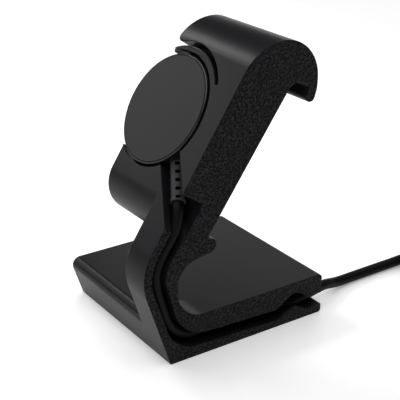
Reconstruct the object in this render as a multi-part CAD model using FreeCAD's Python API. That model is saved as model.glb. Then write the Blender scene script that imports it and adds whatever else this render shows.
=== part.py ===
import FreeCAD
import Part

import math
import os

from FreeCAD import Vector

# A desk dock for a smartwatch: a one-piece stand holds a round magnetic charging puck in a leaning arm,
# and the puck's cable runs down a slot in the stand's right-hand side and out at the rear.
# Millimetres. While drawing, X counts from the base's left side, Y from its front foot and Z from the table.
# Every piece is moved at the end, so that the origin is under the middle of the stand.

os.makedirs("parts", exist_ok=True)

# Base
BASE_WIDTH = 60.0
BASE_DEPTH = 63.0
BASE_HEIGHT = 15.0
FRONT_LEAN = 18.0          # degrees that the front leans out over the table, going up
FOOT_ROUND = 1.2           # rear foot edge
TOP_REAR_ROUND = 1.6
TOP_FRONT_ROUND = 3.0

# Arm, which reaches from the right-hand side to a free end where a closed strap slides on
ARM_WIDTH = 40.0
ARM_LEAN = 33.5            # degrees that the arm's front leans back
ARM_FOOT_Z = 51.3          # height where the arm's front plane stands over the front foot
ARM_DROP = 29.7            # from there straight down to the arm's back plane
ARM_TAPER = 1.95           # degrees that the back leans more than the front
CHIN_V = 36.9              # where the rounded lower end starts, counted up the arm
CHIN_FRONT = 0.67          # radii of that end, as shares of the arm's thickness there
CHIN_BACK = 0.3
TOP_Z = 101.4
BROW_RADIUS = 18.0         # from the front over to the top
ROLL_RADIUS = 14.0         # from the top down to the lip
ROLL_FLAT = 0.13           # between brow and roll
ROLL_FLANK = 1.3           # upright stretch between the roll and the lip's bend

# Lip and recess at the back of the roll
LIP_LEAN = 22.0
LIP_THICK = 3.7
LIP_TIP_FLAT = 0.1
LIP_STRAIGHT = 0.28        # between the lip's bend and its rounded end
RECESS_DROP = 0.6          # recess below the roll's middle
RECESS_ROUND = 2.2
RECESS_BACK_ROUND = 3.6

# Neck that joins arm and base, on the right only
NECK_WIDTH = 11.5
BULGE_RADIUS = 18.0
HOLLOW_Y = 3.0             # front of the C-shaped hollow that the strap hangs in
HOLLOW_RADIUS = 10.4
HOLLOW_STRAIGHT = 1.84
HOLLOW_TOP_RADIUS = 8.3
NUB_RISE = 10.0            # degrees that the nub's underside climbs to the rear
NUB_STEP = 7.0             # from the hollow's top corner up to the nub's top
NUB_REACH = 3.75           # how far the nub stands out of the arm's back
NUB_FULLNESS = 0.45        # radius of its end, as a share of its thickness

# Cable and its slot in the right-hand side
CABLE_D = 3.8
CABLE_INSIDE = 0.6         # end that reaches into the puck
CABLE_LEAVES = 36.3        # from the puck's middle, where the cable turns down the neck
SLOT_DEPTH = 9.0
SLOT_WALL = 3.0            # wall in front of the slot
SLOT_CLEAR = 0.2
SLOT_FRONT_Y = 13.3
SLOT_FLOOR_FRONT = 3.9     # height of the slot's floor there
SLOT_REAR_Y = 44.5
SLOT_FLOOR_REAR = 2.6      # and there
SLOT_FRONT_BEND = 13.0
SLOT_REAR_BEND = 14.0
SLOT_NECK_Z = 19.36
SLOT_NECK_GAP = 4.6        # from front to back in the neck, at that height
SLOT_NECK_TAPER = 2.4      # degrees that the slot widens, going up
SLOT_BACK_ROUND = 9.6

# Hump at the slot's mouth that keeps the cable from sliding out, and the arch over it
HUMP_Y = 51.0
HUMP_DEPTH = 1.6           # from the right-hand side; the cable passes behind it
HUMP_FLAT = 1.8
HUMP_RISE = 3.0
HUMP_FRONT_RUN = 6.6
HUMP_REAR_RUN = 4.6
HUMP_ROUND = 2.0
HUMP_TOP_ROUND = 1.0
ARCH_FLAT = 3.0
ARCH_RISE = 4.0
ARCH_FRONT_RUN = 6.6
ARCH_REAR_RUN = 4.4
EXIT_FLOOR_Z = 3.2
EXIT_GAP = 4.4

# Charging puck, placed by its middle on the arm's front plane
PUCK_IN = 28.5             # from the right-hand side
PUCK_V = 73.05             # counted up the arm
PUCK_RADIUS = 19.2
PUCK_PROUD = 0.5           # how far its face stands out of the arm
PUCK_WALL = 1.6
PUCK_RIM = 0.7             # between the face and the outside
PUCK_EDGE = 0.5
PUCK_BACK_EDGE = 1.0
PUCK_LEDGE = 1.4           # width of the step that the face rests on
FACE_THICK = 1.2
FACE_GAP = 0.1
POCKET_CLEAR = 0.85
POCKET_DEPTH = 7.4

# Spring finger beside the pocket, and the slit that frees it
FINGER_THICK = 2.25
SLIT_WIDTH = 0.6           # at the side; wider at the top by the shift of its outer arc
SLIT_SHIFT = 1.05
SLIT_END_ANGLE = 38.0      # degrees above the arm's crosswise direction
FINGER_SHORT = 1.6         # how far the finger stops short of the arm's free end
FINGER_TIP_ROUND = 1.0
ROLL_TIP_ROUND = 2.5

# Channel from the pocket to the slot
CHANNEL_WIDTH = 8.4
CHANNEL_DEPTH = 9.0
CHANNEL_ANGLE = -45.0
CHANNEL_SHIFT = 0.85       # from the puck's middle, to the upper right

# Inside the puck
MAGNET_RADIUS = 5.5
MAGNET_CLEAR = 0.5
FERRITE_CLEAR = 1.0
FERRITE_THICK = 0.6
COIL_MARGIN = 0.7          # how far the ferrite reaches past the coil
COIL_THICK = 0.9
BOARD_CLEAR = 0.7
BOARD_THICK = 0.8

# Strain relief on the puck
RELIEF_ANGLE = -48.5       # degrees from the arm's crosswise direction
RELIEF_SHIFT = 0.8         # from the puck's middle, to the upper right
RELIEF_SINK = 4.5          # depth of its axis under the arm's front plane
RELIEF_D = 4.5
RELIEF_NECK_D = 4.4
RELIEF_LENGTH = 14.1
COLLAR_D = 5.0
COLLAR_LENGTH = 1.1
NOTCH_LEAD = 1.05          # from the puck's side to the middle of the first windows
NOTCH_PITCH = 3.0
NOTCH_COUNT = 5
NOTCH_SIDES = 2
NOTCH_TURN = -65.0         # degrees from facing straight out of the arm
NOTCH_LENGTH = 1.1
NOTCH_WIDTH = 1.6
NOTCH_DEPTH = 0.32

# Free cable: wound turns, tie and plug
TURN_SHARE = 0.45          # share of a straight run that each bend of the cable takes
EXIT_RUN = 0.8             # first free run, as a share of the held cable's last one
COIL_TURN_RADIUS = 20.0    # middle of the turns
COIL_COLUMNS = 2
COIL_LEVELS = 3
COIL_ROUND = 1.7
TIE_THICK = 1.0
TIE_WIDTH = 6.0
TIE_CLEAR = 0.4
TIE_ANGLE = -20.0
PLUG_WIDTH = 15.0
PLUG_HEIGHT = 8.0
PLUG_LENGTH = 24.0
PLUG_ROUND = 1.5
PLUG_RELIEF_LENGTH = 9.0
PLUG_RELIEF_D = 6.2
PLUG_RELIEF_END_D = 4.6
SHELL_WIDTH = 12.0
SHELL_HEIGHT = 4.5
SHELL_LENGTH = 12.0
SHELL_WALL = 0.35
SHELL_ROOT = 3.0           # length held inside the plug's body
TONGUE_CLEAR = 0.35        # on either side, in the shell
TONGUE_THICK = 1.7
TONGUE_BACK = 1.0          # from the shell's open end
CONTACT_COUNT = 4
CONTACT_PITCH = 2.3
CONTACT_WIDTH = 1.1
CONTACT_LENGTH = 7.0
CONTACT_THICK = 0.2

# How closely an edge has to lie or run where it is looked for
NEAR = 0.001
ALONG = 0.99

# Places that follow
ARM_LEFT = BASE_WIDTH - ARM_WIDTH
NECK_LEFT = BASE_WIDTH - NECK_WIDTH
SLOT_LEFT = BASE_WIDTH - SLOT_DEPTH
PUCK_X = BASE_WIDTH - PUCK_IN
BACK_LEAN = ARM_LEAN + ARM_TAPER
POCKET_RADIUS = PUCK_RADIUS + POCKET_CLEAR
FACE_RADIUS = PUCK_RADIUS - PUCK_RIM
CAVITY_RADIUS = FACE_RADIUS - PUCK_LEDGE
CABLE_START = CAVITY_RADIUS - CABLE_INSIDE
RELIEF_END = PUCK_RADIUS + RELIEF_LENGTH


# Directions on the arm
LEAN = math.radians(ARM_LEAN)
ARM_UP = Vector(0, math.sin(LEAN), math.cos(LEAN))
ARM_OUT = Vector(0, -math.cos(LEAN), math.sin(LEAN))
ARM_FACE = ARM_FOOT_Z * math.sin(LEAN)


def on_arm(x, v, out):
    """Point x across and v up the arm, standing out of its front plane."""
    return Vector(x, 0, 0) + ARM_UP * v + ARM_OUT * (ARM_FACE + out)


def along_relief(s):
    """Point on the relief's axis, s from beside the puck's middle."""
    turn = math.radians(RELIEF_ANGLE)
    x = PUCK_X + s * math.cos(turn) - RELIEF_SHIFT * math.sin(turn)
    v = PUCK_V + s * math.sin(turn) + RELIEF_SHIFT * math.cos(turn)
    return on_arm(x, v, -RELIEF_SINK)


# Straight lines of the side view, each as a point and a direction
class SideLine:
    def __init__(self, y, z, lean):
        turn = math.radians(lean)
        self.y = y
        self.z = z
        self.dy = math.sin(turn)
        self.dz = math.cos(turn)

    def moved(self, distance):
        """The same line, moved to the rear at right angles to itself."""
        line = SideLine(self.y + distance * self.dz, self.z - distance * self.dy, 0)
        line.dy = self.dy
        line.dz = self.dz
        return line

    def at_z(self, z):
        return self.y + (z - self.z) * self.dy / self.dz

    def z_at(self, y):
        return self.z + (y - self.y) * self.dz / self.dy

    def meet(self, other):
        """Point where two lines cross."""
        cross = self.dy * other.dz - self.dz * other.dy
        step = ((other.y - self.y) * other.dz - (other.z - self.z) * other.dy) / cross
        return (self.y + step * self.dy, self.z + step * self.dz)


FOOT_LINE = SideLine(0, 0, -FRONT_LEAN)
ARM_LINE = SideLine(0, ARM_FOOT_Z, ARM_LEAN)
BACK_LINE = SideLine(0, ARM_FOOT_Z - ARM_DROP, BACK_LEAN)


# Rounded outlines and solids
def reach_of(radius, angle):
    """Length that a tangent arc takes from each side of a corner of that many degrees."""
    return radius / math.tan(math.radians(angle) / 2)


def outline(corners):
    """Closed face in the side view from corners (y, z, radius), each rounded by a tangent arc."""
    points = [Vector(0, y, z) for y, z, radius in corners]
    edges = []
    ends = []
    for index, (y, z, radius) in enumerate(corners):
        here = points[index]
        back = (points[index - 1] - here).normalize()
        on = (points[(index + 1) % len(points)] - here).normalize()
        half = back.getAngle(on) / 2
        reach = reach_of(radius, math.degrees(2 * half))
        start = here + back * reach
        stop = here + on * reach
        if radius:
            middle = (back + on).normalize()
            crown = here + middle * (radius / math.sin(half) - radius)
            edges.append(Part.Arc(start, crown, stop).toShape())
        ends.append((start, stop))
    for index, (start, stop) in enumerate(ends):
        following = ends[(index + 1) % len(ends)][0]
        if (following - stop).Length > NEAR:
            edges.append(Part.makeLine(stop, following))
    return Part.Face(Part.Wire(Part.__sortEdges__(edges)))


def extrude(corners, left, right):
    face = outline(corners)
    face.translate(Vector(left, 0, 0))
    return face.extrude(Vector(right - left, 0, 0))


def puck_disc(low, high, radius):
    """Cylinder about the puck's axis, from low to high out of the arm's front plane."""
    return Part.makeCylinder(radius, high - low, on_arm(PUCK_X, PUCK_V, low), ARM_OUT)


def puck_ring(low, high, inner, outer):
    return puck_disc(low, high, outer).cut(puck_disc(low, high, inner))


def tube_path(points):
    """Straight runs joined by tangent arcs, each as large as its shorter run allows."""
    edges = []
    radii = []
    last = points[0]
    for before, here, after in zip(points, points[1:], points[2:]):
        back = before - here
        on = after - here
        reach = TURN_SHARE * min(back.Length, on.Length)
        half = back.getAngle(on) / 2
        start = here + back * (reach / back.Length)
        stop = here + on * (reach / on.Length)
        radius = reach * math.tan(half)
        middle = (start + stop) * 0.5 - here
        crown = here + middle * ((radius / math.sin(half) - radius) / middle.Length)
        edges.append(Part.makeLine(last, start))
        edges.append(Part.Arc(start, crown, stop).toShape())
        radii.append(round(radius, 1))
        last = stop
    edges.append(Part.makeLine(last, points[-1]))
    return Part.Wire(edges), radii


def cable(name, points):
    """Round cable along a route, with its radii and volume printed."""
    path, radii = tube_path(points)
    circle = Part.makeCircle(CABLE_D / 2, points[0], points[1] - points[0])
    solid = path.makePipeShell([Part.Wire([circle])], True, True)
    expected = math.pi * CABLE_D ** 2 / 4 * path.Length
    print(name, "length", round(path.Length, 1), "radii", radii)
    print(name, "volume", round(solid.Volume, 1), "of", round(expected, 1))
    return solid


# Stand
def lip_corners():
    """Recess, lip and roll, from the arm's back plane over to the front."""
    lean = math.radians(LIP_LEAN)
    brow_y = ARM_LINE.at_z(TOP_Z)
    rear_y = brow_y + reach_of(BROW_RADIUS, 90 + ARM_LEAN) + ROLL_FLAT + ROLL_RADIUS
    bend = reach_of(ROLL_RADIUS, 180 - LIP_LEAN)
    bend_z = TOP_Z - ROLL_RADIUS - ROLL_FLANK - bend
    tip_round = (LIP_THICK - LIP_TIP_FLAT) / 2
    length = bend + LIP_STRAIGHT + tip_round
    end_y = rear_y - length * math.sin(lean)
    end_z = bend_z - length * math.cos(lean)
    inner_y = end_y - LIP_THICK * math.cos(lean)
    inner_z = end_z + LIP_THICK * math.sin(lean)
    recess_z = TOP_Z - ROLL_RADIUS - RECESS_DROP
    recess_y = inner_y + (recess_z - inner_z) * math.tan(lean)
    return [
        (BACK_LINE.at_z(recess_z), recess_z, RECESS_BACK_ROUND),
        (recess_y, recess_z, RECESS_ROUND),
        (inner_y, inner_z, tip_round),
        (end_y, end_z, tip_round),
        (rear_y, bend_z, ROLL_RADIUS),
        (rear_y, TOP_Z, ROLL_RADIUS),
        (brow_y, TOP_Z, BROW_RADIUS),
    ]


def hollow_corners():
    """The hollow behind the neck and the nub above it."""
    rise = math.radians(NUB_RISE)
    top_z = BASE_HEIGHT + HOLLOW_RADIUS + HOLLOW_STRAIGHT + reach_of(HOLLOW_TOP_RADIUS, 90 + NUB_RISE)
    nub_high = top_z + NUB_STEP
    back_y = BACK_LINE.at_z(nub_high)
    nub_y = back_y + NUB_REACH
    nub_low = top_z + (nub_y - HOLLOW_Y) * math.tan(rise)
    nub_round = NUB_FULLNESS * (nub_high - nub_low)
    return [
        (HOLLOW_Y, BASE_HEIGHT, HOLLOW_RADIUS),
        (HOLLOW_Y, top_z, HOLLOW_TOP_RADIUS),
        (nub_y, nub_low, nub_round),
        (nub_y, nub_high, nub_round),
        (back_y, nub_high, 0),
    ]


def foot_corners():
    """The base's underside and rear."""
    return [
        (0, 0, 0),
        (BASE_DEPTH, 0, FOOT_ROUND),
        (BASE_DEPTH, BASE_HEIGHT, TOP_REAR_ROUND),
    ]


def side_profile():
    """The whole right-hand side: base, neck, arm, roll and lip."""
    bulge = FOOT_LINE.meet(ARM_LINE) + (BULGE_RADIUS,)
    return foot_corners() + hollow_corners() + lip_corners() + [bulge]


def base_profile():
    return foot_corners() + [(FOOT_LINE.at_z(BASE_HEIGHT), BASE_HEIGHT, TOP_FRONT_ROUND)]


def arm_profile():
    """The arm above the chin, closed by the chin's round."""
    low = SideLine(CHIN_V * ARM_UP.y, CHIN_V * ARM_UP.z, ARM_LEAN + 90)
    front = low.meet(ARM_LINE)
    back = low.meet(BACK_LINE)
    thick = math.dist(front, back)
    return [front + (CHIN_FRONT * thick,), back + (CHIN_BACK * thick,)] + lip_corners()


def slot_profile(with_hump):
    """The cable's way down the neck, along the base and out at the rear."""
    fall = (SLOT_FLOOR_REAR - SLOT_FLOOR_FRONT) / (SLOT_REAR_Y - SLOT_FRONT_Y)
    gap = CABLE_D + SLOT_CLEAR
    along = 90 - math.degrees(math.atan(fall))
    floor = SideLine(SLOT_FRONT_Y, SLOT_FLOOR_FRONT, along)
    roof = SideLine(SLOT_FRONT_Y, SLOT_FLOOR_FRONT + gap, along)
    front_low = FOOT_LINE.moved(SLOT_WALL)
    front_high = ARM_LINE.moved(SLOT_WALL)
    shoulder_front = on_arm(0, shoulder_v(), -SLOT_WALL)
    shoulder_back = on_arm(0, shoulder_v(), -CHANNEL_DEPTH)
    back_high = SideLine(shoulder_back.y, shoulder_back.z, BACK_LEAN)
    back_y = front_low.at_z(SLOT_NECK_Z) + SLOT_NECK_GAP
    back_low = SideLine(back_y, SLOT_NECK_Z, SLOT_NECK_TAPER - FRONT_LEAN)
    out_y = BASE_DEPTH + CABLE_D
    roof_top = SLOT_FLOOR_REAR + gap + ARCH_RISE
    exit_roof = EXIT_FLOOR_Z + EXIT_GAP
    hump_top = SLOT_FLOOR_REAR + HUMP_RISE
    arch = HUMP_Y - ARCH_FLAT / 2 - ARCH_FRONT_RUN
    hump = HUMP_Y - HUMP_FLAT / 2 - HUMP_FRONT_RUN
    crest = [
        (HUMP_Y + HUMP_FLAT / 2, hump_top, HUMP_TOP_ROUND),
        (HUMP_Y - HUMP_FLAT / 2, hump_top, HUMP_TOP_ROUND),
    ]
    way_down = [
        (shoulder_front.y, shoulder_front.z, 0),
        (shoulder_back.y, shoulder_back.z, 0),
        back_high.meet(back_low) + (SLOT_BACK_ROUND,),
        back_low.meet(roof) + (SLOT_REAR_BEND,),
        (arch, roof.z_at(arch), HUMP_ROUND),
        (HUMP_Y - ARCH_FLAT / 2, roof_top, HUMP_ROUND),
        (HUMP_Y + ARCH_FLAT / 2, roof_top, HUMP_ROUND),
        (HUMP_Y + ARCH_FLAT / 2 + ARCH_REAR_RUN, exit_roof, HUMP_ROUND),
        (out_y, exit_roof, 0),
        (out_y, EXIT_FLOOR_Z, 0),
        (HUMP_Y + HUMP_FLAT / 2 + HUMP_REAR_RUN, EXIT_FLOOR_Z, HUMP_ROUND),
    ]
    way_back = [
        (hump, floor.z_at(hump), HUMP_ROUND),
        floor.meet(front_low) + (SLOT_FRONT_BEND,),
        front_low.meet(front_high) + (BULGE_RADIUS - SLOT_WALL,),
    ]
    if with_hump:
        return way_down + crest + way_back
    return way_down + way_back


def shoulder_v():
    """How far up the arm the channel's upper edge leaves through the right-hand side."""
    turn = math.radians(CHANNEL_ANGLE)
    offset = (CHANNEL_SHIFT + CHANNEL_WIDTH / 2) / math.cos(turn)
    return PUCK_V + PUCK_IN * math.tan(turn) + offset


def channel():
    """Square-cut groove from the pocket's wall out through the right-hand side."""
    start = PUCK_RADIUS - PUCK_WALL
    length = PUCK_IN / math.cos(math.radians(CHANNEL_ANGLE)) + CHANNEL_WIDTH - start
    corner = Vector(start, CHANNEL_SHIFT - CHANNEL_WIDTH / 2, -CHANNEL_DEPTH)
    block = Part.makeBox(length, CHANNEL_WIDTH, 2 * CHANNEL_DEPTH, corner)
    return set_on_arm(block, CHANNEL_ANGLE)


def set_on_arm(shape, angle):
    """Move a shape drawn about the puck's middle, X across, Y up and Z out of the arm, turned by angle."""
    turned = shape.copy()
    turned.rotate(Vector(0, 0, 0), Vector(0, 0, 1), angle)
    turned.rotate(Vector(0, 0, 0), Vector(1, 0, 0), 90 - ARM_LEAN)
    turned.translate(on_arm(PUCK_X, PUCK_V, 0))
    return turned


def slit():
    """Crescent cut that frees the finger from the arm, round at its blind end, open at the arm's free end."""
    inner = POCKET_RADIUS + FINGER_THICK
    outer = inner + SLIT_WIDTH
    deep = Vector(0, 0, -POCKET_DEPTH)
    height = 2 * POCKET_DEPTH
    end = math.radians(SLIT_END_ANGLE)
    lens = Part.makeCylinder(outer, height, deep + Vector(0, SLIT_SHIFT, 0))
    lens = lens.cut(Part.makeCylinder(inner, height, deep))
    sector = Part.makeCylinder(2 * outer, height, deep, Vector(0, 0, 1), 180 - SLIT_END_ANGLE)
    sector.rotate(Vector(0, 0, 0), Vector(0, 0, 1), SLIT_END_ANGLE)
    far = SLIT_SHIFT * math.sin(end) + math.sqrt(outer ** 2 - (SLIT_SHIFT * math.cos(end)) ** 2)
    middle = (inner + far) / 2
    tip = Vector(middle * math.cos(end), middle * math.sin(end), -POCKET_DEPTH)
    band = lens.common(sector).fuse(Part.makeCylinder((far - inner) / 2, height, tip))
    return set_on_arm(band, 0)


def finger_end():
    """Block that shortens the finger at the arm's free end."""
    reach = POCKET_RADIUS + FINGER_THICK
    across = PUCK_X - ARM_LEFT - FINGER_SHORT
    high = math.sqrt(reach ** 2 - across ** 2) + SLIT_WIDTH
    corner = Vector(-across - 2 * FINGER_SHORT, 0, -POCKET_DEPTH)
    return set_on_arm(Part.makeBox(2 * FINGER_SHORT, high, 2 * POCKET_DEPTH, corner), 0)


def tip_edges(body, x, near, far):
    """Corners above the puck at x, from near to far from the puck's axis."""
    axis = on_arm(PUCK_X, PUCK_V, 0)
    edges = []
    for edge in body.Edges:
        middle = edge.CenterOfMass
        runs_out = abs(edge.tangentAt(edge.FirstParameter).dot(ARM_OUT)) > ALONG
        way = middle - axis
        distance = math.hypot(way.x, way.dot(ARM_UP))
        if runs_out and abs(middle.x - x) < NEAR and way.dot(ARM_UP) > 0 and near < distance < far:
            edges.append(edge)
    return edges


def make_stand():
    base = extrude(base_profile(), 0, BASE_WIDTH)
    neck = extrude(side_profile(), NECK_LEFT, BASE_WIDTH)
    arm = extrude(arm_profile(), ARM_LEFT, BASE_WIDTH)
    mouth = BASE_WIDTH - HUMP_DEPTH
    slot = extrude(slot_profile(False), SLOT_LEFT, mouth)
    slot_mouth = extrude(slot_profile(True), mouth, BASE_WIDTH + CABLE_D)
    pocket = puck_disc(-POCKET_DEPTH, POCKET_DEPTH, POCKET_RADIUS)
    body = base.fuse([neck, arm]).removeSplitter()
    body = body.cut([slot, slot_mouth, channel(), pocket, slit(), finger_end()]).removeSplitter()
    finger_edge = POCKET_RADIUS + FINGER_THICK + SLIT_WIDTH / 2
    finger_tip = tip_edges(body, ARM_LEFT + FINGER_SHORT, PUCK_RADIUS, finger_edge)
    body = body.makeFillet(FINGER_TIP_ROUND, finger_tip)
    roll_tip = tip_edges(body, ARM_LEFT, finger_edge, finger_edge + CHANNEL_WIDTH)
    return body.makeFillet(ROLL_TIP_ROUND, roll_tip)


# Charging puck
FACE_BACK = PUCK_PROUD - FACE_THICK
CAVITY_FLOOR = PUCK_WALL - POCKET_DEPTH


def relief_rod(start, stop, diameter):
    """Round bar along the middle of the relief."""
    foot = along_relief(start)
    way = along_relief(stop) - foot
    return Part.makeCylinder(diameter / 2, way.Length, foot, way)


def rim_edges(shape, out):
    """Outer round edges of a puck piece at a height out of the arm."""
    level = ARM_FACE + out
    edges = []
    for edge in shape.Edges:
        if edge.Closed and abs(edge.CenterOfMass.dot(ARM_OUT) - level) < NEAR:
            edges.append(edge)
    return edges


def make_puck_housing():
    """Cup with a step for the face and a hole for the relief."""
    cup = puck_disc(-POCKET_DEPTH, PUCK_PROUD, PUCK_RADIUS)
    cup = cup.makeFillet(PUCK_EDGE, rim_edges(cup, PUCK_PROUD))
    cup = cup.makeFillet(PUCK_BACK_EDGE, rim_edges(cup, -POCKET_DEPTH))
    rebate = puck_disc(FACE_BACK, PUCK_PROUD, FACE_RADIUS + FACE_GAP)
    cavity = puck_disc(CAVITY_FLOOR, FACE_BACK, CAVITY_RADIUS)
    return cup.cut([rebate, cavity, relief_rod(CABLE_START, RELIEF_END, RELIEF_NECK_D)])


def make_puck_face():
    return puck_disc(FACE_BACK, PUCK_PROUD, FACE_RADIUS)


def make_charging_coil():
    outer = CAVITY_RADIUS - FERRITE_CLEAR - COIL_MARGIN
    return puck_ring(FACE_BACK - COIL_THICK, FACE_BACK, MAGNET_RADIUS + MAGNET_CLEAR, outer)


def make_ferrite_shield():
    top = FACE_BACK - COIL_THICK
    outer = CAVITY_RADIUS - FERRITE_CLEAR
    return puck_ring(top - FERRITE_THICK, top, MAGNET_RADIUS + MAGNET_CLEAR, outer)


def make_alignment_magnet():
    return puck_disc(CAVITY_FLOOR + BOARD_THICK, FACE_BACK, MAGNET_RADIUS)


def make_circuit_board():
    return puck_disc(CAVITY_FLOOR, CAVITY_FLOOR + BOARD_THICK, CAVITY_RADIUS - BOARD_CLEAR)


def relief_notch(station, side):
    """One of the windows in the relief's side."""
    corner = Vector(station - NOTCH_LENGTH / 2, -NOTCH_WIDTH / 2, RELIEF_D / 2 - NOTCH_DEPTH)
    window = Part.makeBox(NOTCH_LENGTH, NOTCH_WIDTH, RELIEF_D, corner)
    window.rotate(Vector(0, 0, 0), Vector(1, 0, 0), side * 360 / NOTCH_SIDES + NOTCH_TURN)
    window.translate(Vector(0, RELIEF_SHIFT, -RELIEF_SINK))
    return set_on_arm(window, RELIEF_ANGLE)


def make_puck_strain_relief():
    """Soft sleeve with rows of windows and a collar, held in the housing's wall."""
    neck = relief_rod(CAVITY_RADIUS, PUCK_RADIUS, RELIEF_NECK_D)
    sleeve = relief_rod(CABLE_START, RELIEF_END, RELIEF_D)
    collar = relief_rod(RELIEF_END - COLLAR_LENGTH, RELIEF_END, COLLAR_D)
    sleeve = sleeve.cut(puck_disc(-POCKET_DEPTH, PUCK_PROUD, PUCK_RADIUS))
    stations = [PUCK_RADIUS + NOTCH_LEAD + NOTCH_PITCH * index for index in range(NOTCH_COUNT)]
    windows = [relief_notch(station, side) for station in stations for side in range(NOTCH_SIDES)]
    bore = relief_rod(0, BASE_WIDTH, CABLE_D)
    body = neck.fuse([sleeve, collar]).removeSplitter()
    return body.cut(windows + [bore])


# Cable held in the dock: inside the puck, down the neck, along the base and over the hump
def from_side(inset, y, z):
    """Point that far in from the right-hand side."""
    return Vector(BASE_WIDTH - inset, y, z)


DOCK_ROUTE = [
    along_relief(CABLE_START),
    along_relief(CABLE_LEAVES),
    from_side(2.4, 3.5, 46.3),
    from_side(2.8, -1.9, 38.8),
    from_side(3.1, -4.25, 31.4),
    from_side(3.2, -1.6, 21.1),
    from_side(3.6, 1.45, 11.9),
    from_side(4.8, 8.3, 6.2),
    from_side(5.9, 17.5, 5.74),
    from_side(6.6, 31.0, 5.16),
    from_side(5.8, 44.0, 4.6),
    from_side(3.9, 54.0, 5.14),
    from_side(6.0, 63.0, 5.2),
]


# Free cable: over the table to the wound turns, and from their top to the plug
FREE_ROUTE = [
    DOCK_ROUTE[-1],
    DOCK_ROUTE[-1] + (DOCK_ROUTE[-1] - DOCK_ROUTE[-2]) * EXIT_RUN,
    from_side(10.0, 78.0, 2.5),
    from_side(10.9, 87.5, 1.95),
    from_side(11.0, 99.5, 1.9),
    from_side(10.9, 113.5, 2.0),
    from_side(10.6, 127.0, 2.9),
]
COIL_LOW = TIE_THICK
COIL_HIGH = COIL_LOW + COIL_LEVELS * CABLE_D
COIL_HALF = COIL_COLUMNS * CABLE_D / 2
OUTER_TURN = COIL_TURN_RADIUS + COIL_HALF - CABLE_D / 2
COIL_MIDDLE = Vector(FREE_ROUTE[-1].x + OUTER_TURN, FREE_ROUTE[-1].y, 0)
TAIL_Z = COIL_HIGH - CABLE_D / 2
PLUG_Z = PLUG_HEIGHT / 2
TAIL_ROUTE = [
    COIL_MIDDLE + Vector(0, OUTER_TURN, TAIL_Z),
    COIL_MIDDLE + Vector(13.5, 21.9, 10.2),
    COIL_MIDDLE + Vector(24.5, 14.8, 7.2),
    COIL_MIDDLE + Vector(28.0, 4.0, PLUG_Z),
    COIL_MIDDLE + Vector(28.0, -7.0, PLUG_Z),
]


def make_cable_coil():
    """Outer shape of the wound turns."""
    outer = Part.makeCylinder(COIL_TURN_RADIUS + COIL_HALF, COIL_HIGH - COIL_LOW)
    hole = Part.makeCylinder(COIL_TURN_RADIUS - COIL_HALF, COIL_HIGH - COIL_LOW)
    wound = outer.cut(hole)
    rounds = [edge for edge in wound.Edges if edge.Closed]
    wound = wound.makeFillet(COIL_ROUND, rounds)
    wound.translate(COIL_MIDDLE + Vector(0, 0, COIL_LOW))
    return wound


def make_cable_tie():
    """Band round the turns at one place."""
    near = COIL_TURN_RADIUS - COIL_HALF - TIE_CLEAR
    far = COIL_TURN_RADIUS + COIL_HALF
    inner = Part.makeBox(far - near, TIE_WIDTH, COIL_HIGH - COIL_LOW, Vector(near, -TIE_WIDTH / 2, COIL_LOW))
    length = far - near + 2 * TIE_THICK
    height = COIL_HIGH - COIL_LOW + 2 * TIE_THICK
    corner = Vector(near - TIE_THICK, -TIE_WIDTH / 2, COIL_LOW - TIE_THICK)
    band = Part.makeBox(length, TIE_WIDTH, height, corner).cut(inner)
    band.rotate(Vector(0, 0, 0), Vector(0, 0, 1), TIE_ANGLE)
    band.translate(COIL_MIDDLE)
    return band


# Plug, drawn with its cable end at the origin and its open end along -Y
def plug_box(width, height, start, length, z):
    """Block about the plug's axis, from start along the plug, with its middle at height z from the axis."""
    corner = Vector(-width / 2, -start - length, z - height / 2)
    return Part.makeBox(width, length, height, corner)


def place_plug(shape):
    shape.translate(TAIL_ROUTE[-1])
    return shape


SHELL_START = PLUG_RELIEF_LENGTH + PLUG_LENGTH - SHELL_ROOT
TONGUE_WIDTH = SHELL_WIDTH - 2 * SHELL_WALL - 2 * TONGUE_CLEAR
SHELL_FULL = SHELL_LENGTH + SHELL_ROOT
TONGUE_Z = SHELL_HEIGHT / 2 - SHELL_WALL - TONGUE_THICK / 2


def make_plug_strain_relief():
    thin = PLUG_RELIEF_END_D / 2
    thick = PLUG_RELIEF_D / 2
    return place_plug(Part.makeCone(thin, thick, PLUG_RELIEF_LENGTH, Vector(), Vector(0, -1, 0)))


def make_plug_body():
    """Moulded grip with a seat for the shell."""
    grip = plug_box(PLUG_WIDTH, PLUG_HEIGHT, PLUG_RELIEF_LENGTH, PLUG_LENGTH, 0)
    along = [edge for edge in grip.Edges if abs(edge.tangentAt(edge.FirstParameter).y) > ALONG]
    grip = grip.makeFillet(PLUG_ROUND, along)
    return place_plug(grip.cut(plug_box(SHELL_WIDTH, SHELL_HEIGHT, SHELL_START, SHELL_FULL, 0)))


def make_plug_shell():
    """Sheet-metal sleeve, open at its end."""
    hollow = plug_box(SHELL_WIDTH - 2 * SHELL_WALL, SHELL_HEIGHT - 2 * SHELL_WALL, SHELL_START, SHELL_FULL, 0)
    return place_plug(plug_box(SHELL_WIDTH, SHELL_HEIGHT, SHELL_START, SHELL_FULL, 0).cut(hollow))


def make_plug_tongue():
    return place_plug(plug_box(TONGUE_WIDTH, TONGUE_THICK, SHELL_START, SHELL_FULL - TONGUE_BACK, TONGUE_Z))


def make_plug_contact(index):
    """One of the contact strips under the tongue."""
    start = SHELL_START + SHELL_FULL - 2 * TONGUE_BACK - CONTACT_LENGTH
    z = TONGUE_Z - TONGUE_THICK / 2 - CONTACT_THICK / 2
    strip = plug_box(CONTACT_WIDTH, CONTACT_THICK, start, CONTACT_LENGTH, z)
    strip.translate(Vector((index - (CONTACT_COUNT - 1) / 2) * CONTACT_PITCH, 0, 0))
    return place_plug(strip)


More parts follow.
